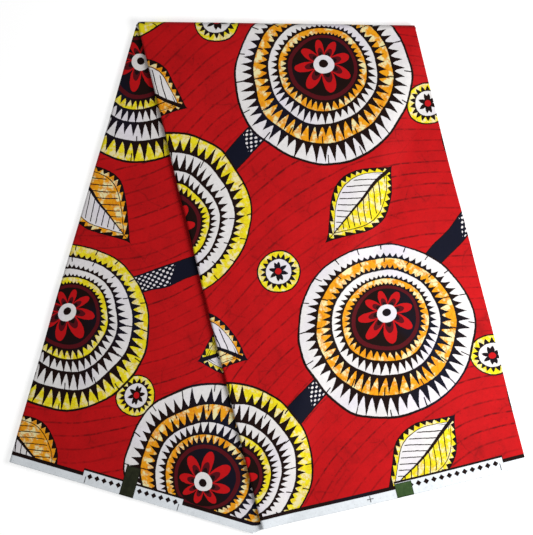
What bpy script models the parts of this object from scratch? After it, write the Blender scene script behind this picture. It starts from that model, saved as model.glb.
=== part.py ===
"""A length of wax-print cotton, folded for sale and lying flat.

The cloth is folded to a bundle of sixteen layers. The bundle is bent over a slanting fold at the top, so
that its upper leg lies on its lower leg and the two fan out. X runs to the right, Y from the open ends to
the top fold, Z up from the surface that the bundle lies on. All sizes are in metres.
"""

import math

import bmesh
import bpy
from mathutils import Vector

# Corners of the folded bundle on the ground: the two ends of the top fold, and the open end of each leg
FOLD_LEFT = Vector((-0.1591, 0.3116))
FOLD_RIGHT = Vector((0.1779, 0.3069))
LOWER_LEFT = Vector((-0.3153, -0.2238))
LOWER_RIGHT = Vector((-0.0182, -0.3116))
UPPER_LEFT = Vector((-0.0073, -0.3055))
UPPER_RIGHT = Vector((0.3153, -0.2287))
UPPER_BOW = 0.0020  # how far the middle of the upper leg's open end stands out
BOW_POWER = 4  # how fast the bow dies away from the open end

# Cloth and bundle
WALL = 0.0010  # wall of the outer layer
CLEAR = 0.0003  # gap between pieces, and between the two legs
BUNDLE = 0.0070  # sixteen pressed layers
ROUNDNESS = 0.8  # reach of a fold, as a share of half its height

# Left edge: one fold round all the layers. Right edge: the top layer curls down round the upper half
EDGE_REACH = ROUNDNESS * BUNDLE / 2
LIP_REACH = 0.0015
LIP_TAIL = 0.0010
EDGE_STEPS = 8
LIP_STEPS = 6

# Layers that show at the open ends and at the right edge, as they stand between the outer faces.
# A right edge of None is where the outer layer's lip tucks in
LIP_ROUND = 0.00025
GROOVE_DEPTH = 0.0020
GROOVE = 0.0002
LAYER_GROUPS = (
    {"bottom": 0.00130, "top": 0.00215, "back_from_right": 0.0005, "back_from_end": 0.0004},
    {"bottom": 0.00235, "top": 0.00320, "back_from_right": 0.0002, "back_from_end": 0.0001},
    {"bottom": 0.00340, "top": 0.00460, "back_from_right": None, "back_from_end": 0.0006},
    {"bottom": 0.00480, "top": 0.00570, "back_from_right": WALL + CLEAR, "back_from_end": 0.0002},
)

# Where the upper leg comes down from the lower leg to the ground, measured from the lower leg's right edge
STEP_START = 0.004
STEP_END = 0.042
STEP_COLUMNS = 5
COLUMN_MARGIN = 0.004
COLUMN_SPACING = 0.0015

# Rows along the bundle: 0 to 1 is the lower leg, 1 to 2 the top fold, 2 to 3 the upper leg
LOWER_ROWS = (0.0, 0.3, 0.65)
FOLD_STEPS = 10
UPPER_ROWS = (2.03, 2.07, 2.12, 2.18, 2.27, 2.4, 2.55, 2.7, 2.82, 2.9, 2.96, 3.0)

CLOTH_RED = (0.47, 0.012, 0.016)
CLOTH_CREAM = (0.72, 0.66, 0.56)
LABEL_DARK_GREEN = (0.022, 0.026, 0.013)
LABEL_GREEN = (0.055, 0.100, 0.035)

# Labels, wrapped over the open ends. from_corner is the middle of a label along its open end, from the end's
# left corner. length is the part that lies on the cloth
LABEL_THICKNESS = 0.0005
LABEL_TAIL = 0.0045
LABEL_BEND = 0.0008
LABEL_BEND_STEPS = 4
LABELS = (
    {"name": "label_left", "upper": False, "from_corner": 0.1483, "width": 0.0175, "length": 0.0350,
     "colour": LABEL_DARK_GREEN},
    {"name": "label_right", "upper": True, "from_corner": 0.1800, "width": 0.0210, "length": 0.0170,
     "colour": LABEL_GREEN},
)

# Worked out from the sizes above
FOLD_CENTRE = BUNDLE + CLEAR / 2
FOLD_REACH = ROUNDNESS * FOLD_CENTRE
FOLD_DIRECTION = (FOLD_RIGHT - FOLD_LEFT).normalized()
FOLD_OUT = Vector((-FOLD_DIRECTION.y, FOLD_DIRECTION.x))
LOWER_EDGE = (LOWER_RIGHT - FOLD_RIGHT).normalized()
AWAY_FROM_LOWER = Vector((-LOWER_EDGE.y, LOWER_EDGE.x))


def clear_scene():
    for thing in list(bpy.data.objects):
        bpy.data.objects.remove(thing, do_unlink=True)


def before_fold(corner, fold_end):
    """Point on a leg's edge where the top fold begins to round over."""
    edge = corner - fold_end
    return fold_end + edge * (FOLD_REACH / abs(edge.dot(FOLD_OUT)))


def edge_points(along):
    """Left and right edge of the bundle on the ground, and its turn round the top fold, 0 to 1."""
    lower_left = before_fold(LOWER_LEFT, FOLD_LEFT)
    lower_right = before_fold(LOWER_RIGHT, FOLD_RIGHT)
    upper_left = before_fold(UPPER_LEFT, FOLD_LEFT)
    upper_right = before_fold(UPPER_RIGHT, FOLD_RIGHT)
    if along < 1.0:
        return LOWER_LEFT.lerp(lower_left, along), LOWER_RIGHT.lerp(lower_right, along), 0.0
    if along > 2.0:
        rest = along - 2.0
        return upper_left.lerp(UPPER_LEFT, rest), upper_right.lerp(UPPER_RIGHT, rest), 1.0
    turn = along - 1.0
    return lower_left.lerp(upper_left, turn), lower_right.lerp(upper_right, turn), turn


def width_at(along):
    left, right, _ = edge_points(along)
    return (right - left).length


def past_lower_leg(point):
    """Distance on the ground from the lower leg's right edge, positive outside the leg."""
    return (point - FOLD_RIGHT).dot(AWAY_FROM_LOWER)


def step_down(distance):
    """How far the upper leg has come down, at a distance past the lower leg's edge."""
    share = min(max((distance - STEP_START) / (STEP_END - STEP_START), 0.0), 1.0)
    return (BUNDLE + CLEAR) * share * share * (3.0 - 2.0 * share)


def place(along, across, height):
    """World point of the cloth: along the bundle, across it from the left edge, and up in the flat bundle."""
    left, right, turn = edge_points(along)
    share = across / (right - left).length
    ground = left.lerp(right, share)
    radius = FOLD_CENTRE - height
    ground += FOLD_OUT * (ROUNDNESS * radius * math.sin(turn * math.pi))
    bow = UPPER_BOW * max(along - 2.0, 0.0) ** BOW_POWER * math.sin(math.pi * min(max(share, 0.0), 1.0))
    ground -= FOLD_OUT * bow
    up = FOLD_CENTRE - radius * math.cos(turn * math.pi) - step_down(past_lower_leg(ground))
    return Vector((ground.x, ground.y, up))


def rows():
    fold = [1.0 + step / FOLD_STEPS for step in range(FOLD_STEPS + 1)]
    return [*LOWER_ROWS, *fold, *UPPER_ROWS]


def columns(along):
    """Distances from the left edge that divide a face. On the upper leg they follow its step down."""
    width = width_at(along)
    left, right, _ = edge_points(max(along, 2.0))
    near = past_lower_leg(left)
    far = past_lower_leg(right)
    step = (STEP_END - STEP_START) / STEP_COLUMNS
    wanted = [STEP_START + step * number for number in range(STEP_COLUMNS + 1)]
    over_step = [width * (distance - near) / (far - near) for distance in wanted]
    lines = [over_step[0] / 2, *over_step, (over_step[-1] + width) / 2]
    last = len(lines) - 1
    found = []
    for number, line in enumerate(lines):
        least = COLUMN_MARGIN + COLUMN_SPACING * number
        most = width - COLUMN_MARGIN - COLUMN_SPACING * (last - number)
        even = width * (number + 1) / (last + 2)
        kept = min(max(line, least), most)
        found.append(even + (kept - even) * min(along, 1.0))
    return found


def half_round(centre, reach, half_height, steps, side):
    """Points round a folded edge from its top to its bottom; side is -1 at the left edge, 1 at the right."""
    points = []
    for step in range(steps + 1):
        angle = math.pi * (0.5 - step / steps)
        points.append((centre[0] + side * reach * math.cos(angle), centre[1] + half_height * math.sin(angle)))
    return points


def outer_walls(along):
    """Cross-section of the outer layer from its lip to its lower right edge, its outside and then its inside.

    Each is a list of distances across and heights, and the two lists match point for point.
    """
    width = width_at(along)
    middle = columns(along)
    lip_half = BUNDLE / 4
    walls = []
    for inset in (0.0, WALL):
        half = BUNDLE / 2 - inset
        lip_centre = (width - LIP_REACH, BUNDLE - lip_half)
        lip = half_round(lip_centre, LIP_REACH - inset, lip_half - inset, LIP_STEPS, 1)
        wall = [(width - LIP_REACH - LIP_TAIL, BUNDLE / 2 + inset)]
        wall += reversed(lip)
        wall += [(across, BUNDLE - inset) for across in reversed(middle)]
        wall += half_round((EDGE_REACH, BUNDLE / 2), EDGE_REACH - inset, half, EDGE_STEPS, -1)
        wall += [(across, inset) for across in middle]
        wall.append((width, inset))
        walls.append(wall)
    return walls


def bridge(mesh, first, second):
    """Faces between two closed rings of as many points, each starting at its left corner.

    Faces that lie over each other then split along the same diagonal, and the gap between them stays even.
    """
    count = len(first)
    for number in range(count):
        one, other = number, (number + 1) % count
        if first[one].co.x > first[other].co.x:
            one, other = other, one
        mesh.faces.new((first[one], first[other], second[other], second[one]))


def close_wall(mesh, ring):
    """Faces over the cut end of a wall, whose ring runs along one face of it and back along the other."""
    for number in range(len(ring) // 2 - 1):
        mesh.faces.new((ring[number], ring[number + 1], ring[-2 - number], ring[-1 - number]))


def material(name, colour, roughness):
    made = bpy.data.materials.new(name)
    made.use_nodes = True
    surface = made.node_tree.nodes["Principled BSDF"]
    surface.inputs["Base Color"].default_value = (*colour, 1.0)
    surface.inputs["Roughness"].default_value = roughness
    surface.inputs["Metallic"].default_value = 0.0
    return made


def add_object(name, mesh, colour, roughness):
    bmesh.ops.triangulate(mesh, faces=mesh.faces[:], quad_method="FIXED", ngon_method="EAR_CLIP")
    bmesh.ops.recalc_face_normals(mesh, faces=mesh.faces[:])
    data = bpy.data.meshes.new(name)
    mesh.to_mesh(data)
    mesh.free()
    data.shade_smooth()
    data.set_sharp_from_angle(angle=math.radians(35))
    data.materials.append(material(name, colour, roughness))
    made = bpy.data.objects.new(name, data)
    bpy.context.scene.collection.objects.link(made)
    return made


def make_outer_layer():
    mesh = bmesh.new()
    rings = []
    for along in rows():
        outside, inside = outer_walls(along)
        rings.append([mesh.verts.new(place(along, *point)) for point in outside + inside[::-1]])
    for first, second in zip(rings, rings[1:]):
        bridge(mesh, first, second)
    close_wall(mesh, rings[0])
    close_wall(mesh, rings[-1])
    return add_object("outer_layer", mesh, CLOTH_RED, 0.75)


def left_back(height):
    """How far the hidden layers stand back from the left edge, inside the outer fold."""
    half = BUNDLE / 2 - WALL - CLEAR
    reach = EDGE_REACH - WALL - CLEAR
    share = min(abs(height - BUNDLE / 2) / half, 1.0)
    return WALL + CLEAR + reach * (1.0 - math.sqrt(1.0 - share * share))


def hidden_rings():
    """Heights of the hidden layers' rim, with how far it stands back from each side."""
    tucked = LIP_REACH + LIP_TAIL + CLEAR
    found = []
    for number, group in enumerate(LAYER_GROUPS):
        right = group["back_from_right"]
        end = group["back_from_end"]
        rim = (
            (group["bottom"], LIP_ROUND),
            (group["bottom"] + LIP_ROUND, 0.0),
            (group["top"] - LIP_ROUND, 0.0),
            (group["top"], LIP_ROUND),
        )
        if number:
            height = group["bottom"] - GROOVE / 2
            found.append((height, left_back(height), tucked, GROOVE_DEPTH))
        for height, round_back in rim:
            right_back = tucked if right is None else right + round_back
            found.append((height, left_back(height), right_back, end + round_back))
    return found


def make_hidden_layers():
    mesh = bmesh.new()
    places = rows()
    last = len(places) - 1

    def rim_place(number, back):
        if number == 0:
            return back / (LOWER_LEFT - FOLD_LEFT).length
        if number == last:
            return places[last] - back / (UPPER_LEFT - FOLD_LEFT).length
        return places[number]

    def across_points(number, left, right):
        along = places[number]
        return [left, *columns(along), width_at(along) - right]

    def grid(height, left, right, end):
        lines = []
        for number in range(last + 1):
            along = rim_place(number, end)
            points = across_points(number, left, right)
            lines.append([mesh.verts.new(place(along, across, height)) for across in points])
        return lines

    def rim_of(lines):
        left_side = [line[0] for line in lines]
        right_side = [line[-1] for line in lines]
        return left_side + lines[-1][1:-1] + right_side[::-1] + lines[0][-2:0:-1]

    def rim(height, left, right, end):
        points = []
        for number in range(last + 1):
            points.append((number, left))
        points += [(last, x) for x in across_points(last, left, right)[1:-1]]
        for number in range(last, -1, -1):
            points.append((number, width_at(places[number]) - right))
        points += [(0, x) for x in across_points(0, left, right)[-2:0:-1]]
        return [mesh.verts.new(place(rim_place(number, end), x, height)) for number, x in points]

    rings = hidden_rings()
    bottom = grid(*rings[0])
    top = grid(*rings[-1])
    for lines in (bottom, top):
        for line, after in zip(lines, lines[1:]):
            for number in range(len(line) - 1):
                mesh.faces.new((line[number], line[number + 1], after[number + 1], after[number]))
    rims = [rim_of(bottom), *(rim(*ring) for ring in rings[1:-1]), rim_of(top)]
    for first, second in zip(rims, rims[1:]):
        bridge(mesh, first, second)
    return add_object("hidden_layers", mesh, CLOTH_CREAM, 0.85)


def label_outline(length):
    """Side view of a label wrapped over an open end: distance onto the cloth, and height above its face."""
    outer = LABEL_BEND + LABEL_THICKNESS
    centre = (LABEL_BEND - CLEAR, CLEAR - LABEL_BEND)
    outline = [(length, CLEAR + LABEL_THICKNESS)]
    for step in range(LABEL_BEND_STEPS + 1):
        angle = math.pi / 2 * (1.0 + step / LABEL_BEND_STEPS)
        outline.append((centre[0] + outer * math.cos(angle), centre[1] + outer * math.sin(angle)))
    outline += [(-CLEAR - LABEL_THICKNESS, -LABEL_TAIL), (-CLEAR, -LABEL_TAIL)]
    for step in range(LABEL_BEND_STEPS, -1, -1):
        angle = math.pi / 2 * (1.0 + step / LABEL_BEND_STEPS)
        outline.append((centre[0] + LABEL_BEND * math.cos(angle), centre[1] + LABEL_BEND * math.sin(angle)))
    outline.append((length, CLEAR))
    return outline


def make_label(name, upper, from_corner, width, length, colour):
    """A plain label, wrapped over the open end of the upper or the lower leg."""
    along = 3.0 if upper else 0.0
    face = 0.0 if upper else BUNDLE
    near = place(along, from_corner - width / 2, face)
    far = place(along, from_corner + width / 2, face)
    sideways = (far - near).normalized()
    onto = Vector((-sideways.y, sideways.x, 0.0))
    mesh = bmesh.new()
    rings = []
    for corner in (near, far):
        ring = []
        for distance, height in label_outline(length):
            ring.append(mesh.verts.new(corner + onto * distance + Vector((0.0, 0.0, height))))
        rings.append(ring)
    bridge(mesh, *rings)
    close_wall(mesh, rings[0])
    close_wall(mesh, rings[1])
    return add_object(name, mesh, colour, 0.4)


def main():
    clear_scene()
    make_outer_layer()
    make_hidden_layers()
    for label in LABELS:
        make_label(**label)


main()
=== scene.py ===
"""Looks of a length of wax-print cotton, folded for sale and lying flat.

The cloth is laid layer by layer, each at its real thickness, from selvedge to selvedge. Its print is drawn in
metres of unfolded cloth, so it runs round every fold. All sizes are in metres, X to the right, Y from the
open ends to the top fold, Z up.
"""

import math

import bpy
import numpy as np
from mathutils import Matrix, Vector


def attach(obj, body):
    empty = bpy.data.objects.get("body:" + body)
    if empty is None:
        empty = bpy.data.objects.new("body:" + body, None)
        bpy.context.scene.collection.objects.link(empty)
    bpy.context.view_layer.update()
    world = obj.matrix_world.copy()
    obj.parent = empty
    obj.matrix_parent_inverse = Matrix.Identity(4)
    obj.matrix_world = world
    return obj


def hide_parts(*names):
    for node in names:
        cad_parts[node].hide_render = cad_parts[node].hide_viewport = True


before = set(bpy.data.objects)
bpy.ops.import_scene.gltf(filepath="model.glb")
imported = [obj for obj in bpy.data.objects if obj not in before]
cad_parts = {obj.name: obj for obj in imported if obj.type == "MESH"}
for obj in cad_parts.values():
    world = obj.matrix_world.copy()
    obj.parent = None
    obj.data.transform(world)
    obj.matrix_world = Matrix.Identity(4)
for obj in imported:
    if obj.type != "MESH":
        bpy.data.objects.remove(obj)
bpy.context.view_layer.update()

# Corners of the folded bundle on the ground
FOLD_LEFT = np.array([-0.1591, 0.3116])
FOLD_RIGHT = np.array([0.1779, 0.3069])
LOWER_LEFT = np.array([-0.3153, -0.2238])
LOWER_RIGHT = np.array([-0.0182, -0.3116])
UPPER_LEFT = np.array([-0.0073, -0.3055])
UPPER_RIGHT = np.array([0.3153, -0.2287])
UPPER_BOW = 0.0020  # how far the middle of the upper open end bows out
BOW_POWER = 4  # how fast that fades along the leg

# The cloth and the bundle
BUNDLE = 0.0070  # thickness of a leg
LEG_GAP = 0.0003  # between the legs, where one lies on the other
ROUNDNESS = 0.8  # how far a fold reaches out, in halves of its height
LAYERS = 16
CLOTH = 0.00030  # thickness of one layer
INNER_SLACK = 0.00018  # extra room inside each outer layer
CLOTH_WIDTH = 1.206  # from selvedge to selvedge
STRIP = 0.327  # from fold to fold
FOLD_CENTRE = BUNDLE + LEG_GAP / 2
FOLD_REACH = ROUNDNESS * FOLD_CENTRE

# Where the upper leg comes down from the lower leg to the ground
STEP_START = 0.004
STEP_END = 0.042

# Height of each strip in the bundle, counted in layers from the bottom. Strip 0 begins at a cut end, strip 15
# ends at the other
HEIGHT_OF_STRIP = (0, 15, 8, 7, 4, 11, 12, 3, 2, 13, 10, 5, 6, 9, 14, 1)


def unit(vector):
    return vector / np.linalg.norm(vector)


def eased(share):
    """0 to 1 with a soft start and a soft end."""
    return share * share * (3 - 2 * share)


FOLD_DIRECTION = unit(FOLD_RIGHT - FOLD_LEFT)
FOLD_OUT = np.array([-FOLD_DIRECTION[1], FOLD_DIRECTION[0]])


# Shape of the bundle


def fold_start(corner, fold_end):
    """Point on a leg's edge where the top fold begins to round over."""
    edge = corner - fold_end
    return fold_end + edge * (FOLD_REACH / abs(edge @ FOLD_OUT))


LEFT_EDGE = np.array(
    [LOWER_LEFT, fold_start(LOWER_LEFT, FOLD_LEFT), fold_start(UPPER_LEFT, FOLD_LEFT), UPPER_LEFT]
)
RIGHT_EDGE = np.array(
    [LOWER_RIGHT, fold_start(LOWER_RIGHT, FOLD_RIGHT), fold_start(UPPER_RIGHT, FOLD_RIGHT), UPPER_RIGHT]
)


def on_edge(edge, along):
    """Points of an edge: 0 to 1 is the lower leg, 1 to 2 the top fold, 2 to 3 the upper leg."""
    stretch = np.clip(np.floor(along), 0, 2).astype(int)
    share = (along - stretch)[..., None]
    return edge[stretch] + (edge[stretch + 1] - edge[stretch]) * share


def width_at(along):
    return np.linalg.norm(on_edge(RIGHT_EDGE, along) - on_edge(LEFT_EDGE, along), axis=-1)


def inside(ground, start, end):
    """Distance on the ground to the right of the line from start to end."""
    direction = unit(end - start)
    offset = ground - start
    return offset[..., 0] * direction[1] - offset[..., 1] * direction[0]


def step_share(ground):
    """0 where the upper leg lies on the lower one, 1 where it lies on the ground."""
    past = inside(ground, LOWER_RIGHT, FOLD_RIGHT)
    return eased(np.clip((past - STEP_START) / (STEP_END - STEP_START), 0, 1))


# Soft unevenness of a pressed bundle. Each wave runs across the whole leg
WAVES = (
    {"length": 0.210, "heading": 62, "phase": 0.4, "height": 0.00030},
    {"length": 0.145, "heading": 118, "phase": 2.1, "height": 0.00022},
    {"length": 0.093, "heading": 15, "phase": 4.4, "height": 0.00014},
    {"length": 0.071, "heading": 84, "phase": 1.3, "height": 0.00007},
)
# Soft creases: middle, heading from the right in degrees, half length, half width and depth.
# A negative depth is a ridge
LOWER_CREASES = (
    {"at": (-0.215, 0.060), "heading": -14, "length": 0.060, "width": 0.0085, "depth": 0.00075},
    {"at": (-0.188, -0.095), "heading": -20, "length": 0.085, "width": 0.0110, "depth": 0.00070},
    {"at": (-0.150, 0.190), "heading": -9, "length": 0.045, "width": 0.0070, "depth": -0.00050},
    {"at": (-0.255, -0.165), "heading": 71, "length": 0.050, "width": 0.0095, "depth": 0.00060},
    {"at": (-0.120, -0.215), "heading": -31, "length": 0.060, "width": 0.0080, "depth": -0.00050},
)
UPPER_CREASES = (
    {"at": (0.015, 0.205), "heading": 8, "length": 0.110, "width": 0.0100, "depth": 0.00070},
    {"at": (0.130, 0.075), "heading": 16, "length": 0.095, "width": 0.0120, "depth": 0.00085},
    {"at": (-0.040, 0.020), "heading": -68, "length": 0.070, "width": 0.0090, "depth": -0.00060},
    {"at": (0.085, -0.120), "heading": 12, "length": 0.120, "width": 0.0130, "depth": 0.00080},
    {"at": (0.215, -0.170), "heading": 21, "length": 0.065, "width": 0.0100, "depth": -0.00065},
    {"at": (0.165, 0.215), "heading": -75, "length": 0.055, "width": 0.0080, "depth": 0.00060},
    {"at": (0.060, -0.215), "heading": 48, "length": 0.045, "width": 0.0075, "depth": 0.00055},
)
PUFF = 0.00050  # how much a folded edge stands up
PUFF_WIDTH = 0.014
END_PUFF = 0.5  # share of that by which an open end does
CREASE_BEND = 0.12  # how far a crease snakes, in its own widths
UPPER_TURN = 77  # degrees between the waves of the upper leg and those of the lower one
# How a folded edge wanders from its straight line
DRIFTS = (
    {"height": 0.00035, "pace": 9.0, "phase": 1.0},
    {"height": 0.00020, "pace": 23.0, "phase": 2.7},
)
LEFT_DRIFT, RIGHT_DRIFT = 0.8, 3.1


def waves(ground, turn):
    total = 0.0
    for wave in WAVES:
        heading = math.radians(wave["heading"] + turn)
        distance = ground[..., 0] * math.cos(heading) + ground[..., 1] * math.sin(heading)
        total = total + wave["height"] * np.sin(2 * math.pi * distance / wave["length"] + wave["phase"])
    return total


def creases(ground, table):
    total = 0.0
    for crease in table:
        heading = math.radians(crease["heading"])
        offset = ground - np.array(crease["at"])
        run = offset[..., 0] * math.cos(heading) + offset[..., 1] * math.sin(heading)
        aside = offset[..., 1] * math.cos(heading) - offset[..., 0] * math.sin(heading)
        bend = aside - CREASE_BEND * crease["width"] * np.sin(run / crease["width"])
        shape = np.exp(-((run / crease["length"]) ** 2) - (bend / crease["width"]) ** 2)
        total = total - crease["depth"] * shape
    return total


def puff(distance):
    return PUFF * np.exp(-((np.maximum(distance, 0.0) / PUFF_WIDTH) ** 2))


def leg_relief(ground, left, right, turn, leg_creases):
    """What a leg adds to a flat bundle: raised edges, waves and creases."""
    edges = puff(inside(ground, left, FOLD_LEFT)) + puff(-inside(ground, right, FOLD_RIGHT))
    end = END_PUFF * puff(inside(ground, right, left))
    return edges + end + waves(ground, turn) + creases(ground, leg_creases)


def edge_drift(along, phase):
    """How far a folded edge wanders from its straight line."""
    total = 0.0
    for wave in DRIFTS:
        total = total + wave["height"] * np.sin(wave["pace"] * along + wave["phase"] * phase)
    return total


def place(along, across, height):
    """World points of the cloth, given along the bundle, across it from the left edge, and up in it."""
    along, across, height = np.broadcast_arrays(along, across, height)
    left = on_edge(LEFT_EDGE, along)
    right = on_edge(RIGHT_EDGE, along)
    share = across / np.linalg.norm(right - left, axis=-1)
    drift = edge_drift(along, LEFT_DRIFT) * (1 - share) + edge_drift(along, RIGHT_DRIFT) * share
    ground = left + (right - left) * share[..., None] + FOLD_DIRECTION * drift[..., None]
    turn = np.clip(along - 1, 0, 1)
    radius = FOLD_CENTRE - height
    bow = UPPER_BOW * np.clip(along - 2, 0, None) ** BOW_POWER * np.sin(math.pi * np.clip(share, 0, 1))
    ground = ground + FOLD_OUT * (ROUNDNESS * radius * np.sin(math.pi * turn) - bow)[..., None]
    step = step_share(ground)
    level = height / BUNDLE
    low = leg_relief(ground, LOWER_LEFT, LOWER_RIGHT, 0, LOWER_CREASES)
    high = leg_relief(ground, UPPER_LEFT, UPPER_RIGHT, UPPER_TURN, UPPER_CREASES)
    on_lower = low * level
    on_upper = low * (1 - step) + high * (1 - level)
    lift = on_lower + (on_upper - on_lower) * eased(turn)
    up = FOLD_CENTRE - radius * np.cos(math.pi * turn) - (BUNDLE + LEG_GAP) * step + lift
    return np.concatenate([ground, up[..., None]], axis=-1)


# Cross-section of the folded cloth

LEFT, RIGHT, BETWEEN = 0, 1, 2
MARGIN = 0.0045  # flat part's lines keep this far from both edges
LINE_SPACING = 0.0010
LEFT_CENTRE = ROUNDNESS * (BUNDLE - CLOTH) / 2 + CLOTH / 2
RIGHT_CENTRES = {  # how far in from the right edge a fold turns, by the two heights that it joins
    (8, 15): 0.00140,
    (9, 14): 0.00140,
    (10, 13): 0.00140,
    (11, 12): 0.00140,
    (4, 7): 0.00125,
    (5, 6): 0.00125,
    (2, 3): 0.00150,
}
CUT_BACK = {0: 0.0002, 1: 0.0011}  # how far in the two cut ends stop, by height
CUT_BEND = 0.0024  # how far in the lower cut end's second station is
LIP_REACH = 0.0030  # how far in the outer cloth's lip ends, under the top strip
INNER_START = 0.0034  # how far in the inner cloth takes over from it
# How far each height's layer stands out at the lower and at the upper open end
LOWER_STAND = (0.0, 0.0009, 0.0004, -0.0003, 0.0002, -0.0008, -0.0005, 0.0003, -0.0006, -0.0010, -0.0002,
               -0.0007, -0.0004, -0.0009, -0.0003, 0.0)
UPPER_STAND = (0.0, -0.0006, -0.0003, -0.0009, -0.0005, 0.0002, -0.0007, -0.0002, 0.0004, -0.0004, 0.0003,
               -0.0006, 0.0005, 0.0008, 0.0006, 0.0010)

STAND_AT_LEFT, STAND_AT_RIGHT = 1.3, 0.7  # the lower end's layers lie a little askew

# The top strip of the lower leg and the one it folds into lie askew, so that they reach under the upper leg
ASKEW_STRIPS = (1, 2)
ASKEW = 0.0105  # how far their fold stands out at the open end
ASKEW_RUN = 0.40  # share of the leg's length along which it does
ASKEW_FROM = 0.60  # share of the bundle's width from which they lean
ASKEW_SLANT = 0.92  # how far their open end runs back, for each metre that they stand out

# How finely the cloth is drawn: rows along the bundle, lines across its flat part before the step, on it and
# after it, and steps round a fold
OUTER_ROWS = {"leg_rows": 84, "fold_rows": 25, "end_rows": 5}
INNER_ROWS = {"leg_rows": 38, "fold_rows": 13, "end_rows": 3}
OUTER_LINES = (22, 10, 16)
INNER_LINES = (10, 8, 7)
LEFT_STEPS, LIP_STEPS, HIDDEN_STEPS = 16, 12, 6
CLOSE_ROWS = 0.02  # share of a leg where the rows are close together
SHARP_ANGLE = 38


def layer_height(number):
    """Middle of a layer in the flat bundle."""
    pitch = (BUNDLE - CLOTH - 2 * INNER_SLACK) / (LAYERS - 1)
    slack = INNER_SLACK * (number > 0) + INNER_SLACK * (number == LAYERS - 1)
    return CLOTH / 2 + pitch * number + slack


class Course:
    """A run of layers in cross-section, station by station from one end of the cloth's length to the other.

    A station has its distance from the left or right edge, or the number of its line in the flat part, its
    height, the way out of the cloth, its place in the unfolded length and how that changes across the strip,
    how far the layer stands out at both open ends, and whether it lies askew.
    """

    def __init__(self, lines):
        self.lines = lines
        self.rows = []

    def add(self, anchor, offset, height, out, unrolled, slope, stands, askew):
        self.rows.append((anchor, offset, height, *out, unrolled, slope, *stands, askew))

    def flat(self, strip):
        """The flat part of a strip. Even strips run from the right edge to the left."""
        number = HEIGHT_OF_STRIP[strip]
        leftwards = strip % 2 == 0
        order = range(self.lines - 1, -1, -1) if leftwards else range(self.lines)
        out = (0.0, -1.0) if leftwards else (0.0, 1.0)
        start, slope = (STRIP * (strip + 1), -1.0) if leftwards else (STRIP * strip, 1.0)
        for line in order:
            stands = (LOWER_STAND[number], UPPER_STAND[number])
            self.add(BETWEEN, line, layer_height(number), out, start, slope, stands, strip in ASKEW_STRIPS)

    def turn(self, strip, steps):
        """The fold from a strip to the next one."""
        before, after = HEIGHT_OF_STRIP[strip], HEIGHT_OF_STRIP[strip + 1]
        first, last = layer_height(before), layer_height(after)
        at_left = strip % 2 == 0
        half = abs(last - first) / 2
        reach = ROUNDNESS * half
        rising = 1.0 if last > first else -1.0
        facing = rising if at_left else -rising
        side = -1.0 if at_left else 1.0
        if at_left:
            anchor, centre = LEFT, LEFT_CENTRE
        else:
            anchor, centre = RIGHT, -RIGHT_CENTRES[min(before, after), max(before, after)]
        for step in range(steps + 1):
            share = step / steps
            angle = math.pi * (share - 0.5)
            cosine, sine = math.cos(angle), math.sin(angle)
            normal = np.array([side * cosine / reach, rising * sine / half])
            normal *= facing / np.linalg.norm(normal)
            blend = eased(share)
            stands = (
                LOWER_STAND[before] * (1 - blend) + LOWER_STAND[after] * blend,
                UPPER_STAND[before] * (1 - blend) + UPPER_STAND[after] * blend,
            )
            across = centre + side * reach * cosine
            height = (first + last) / 2 + rising * half * sine
            unrolled = STRIP * (strip + 1) + (share - 0.5) * 2 * abs(centre)
            self.add(anchor, across, height, normal, unrolled, 0.0, stands, strip == ASKEW_STRIPS[0])

    def end(self, strip, distance):
        """One station near the right edge, where a run begins or stops."""
        number = HEIGHT_OF_STRIP[strip]
        leftwards = strip % 2 == 0
        out = (0.0, -1.0) if leftwards else (0.0, 1.0)
        unrolled = STRIP * strip + distance if leftwards else STRIP * (strip + 1) - distance
        stands = (LOWER_STAND[number], UPPER_STAND[number])
        self.add(RIGHT, -distance, layer_height(number), out, unrolled, 0.0, stands, strip in ASKEW_STRIPS)

    def columns(self):
        return np.array(self.rows, float).T


def flat_lines(along, left_count, step_count, right_count):
    """Distances from the left edge of the flat part's lines. On the upper leg they follow its step down."""
    width = width_at(along)
    upper = np.maximum(along, 2.0)
    near = -inside(on_edge(LEFT_EDGE, upper), FOLD_RIGHT, LOWER_RIGHT)
    far = -inside(on_edge(RIGHT_EDGE, upper), FOLD_RIGHT, LOWER_RIGHT)
    scale = width / (far - near)
    first = (STEP_START - near) * scale
    final = (STEP_END - near) * scale
    wanted = np.concatenate(
        [
            first * np.arange(1, left_count + 1)[:, None] / (left_count + 1),
            first + (final - first) * np.linspace(0, 1, step_count + 1)[:, None],
            final + (width - final) * np.arange(1, right_count + 1)[:, None] / (right_count + 1),
        ]
    )
    count = len(wanted)
    number = np.arange(count)[:, None]
    least = MARGIN + LINE_SPACING * number
    most = width - MARGIN - LINE_SPACING * (count - 1 - number)
    even = width * (number + 1) / (count + 1)
    kept = np.minimum(np.maximum(wanted, least), most)
    return (even + (kept - even) * np.minimum(along, 1.0)).T


def rows_along(leg_rows, fold_rows, end_rows):
    """Places along the bundle, close together at the two open ends and round the top fold."""
    near_end = np.linspace(0, CLOSE_ROWS, end_rows, endpoint=False)
    leg = np.linspace(CLOSE_ROWS, 1, leg_rows)
    lower = np.concatenate([near_end, leg])
    return np.concatenate([lower[:-1], 1 + np.linspace(0, 1, fold_rows), 3 - lower[::-1][1:]])


LEG_LENGTHS = tuple(
    np.linalg.norm(edge[first] - edge[first + 1]) for edge in (LEFT_EDGE, RIGHT_EDGE) for first in (0, 2)
)


def leg_length(share, upper):
    at_left, at_right = (LEG_LENGTHS[1], LEG_LENGTHS[3]) if upper else (LEG_LENGTHS[0], LEG_LENGTHS[2])
    return at_left + (at_right - at_left) * share


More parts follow.
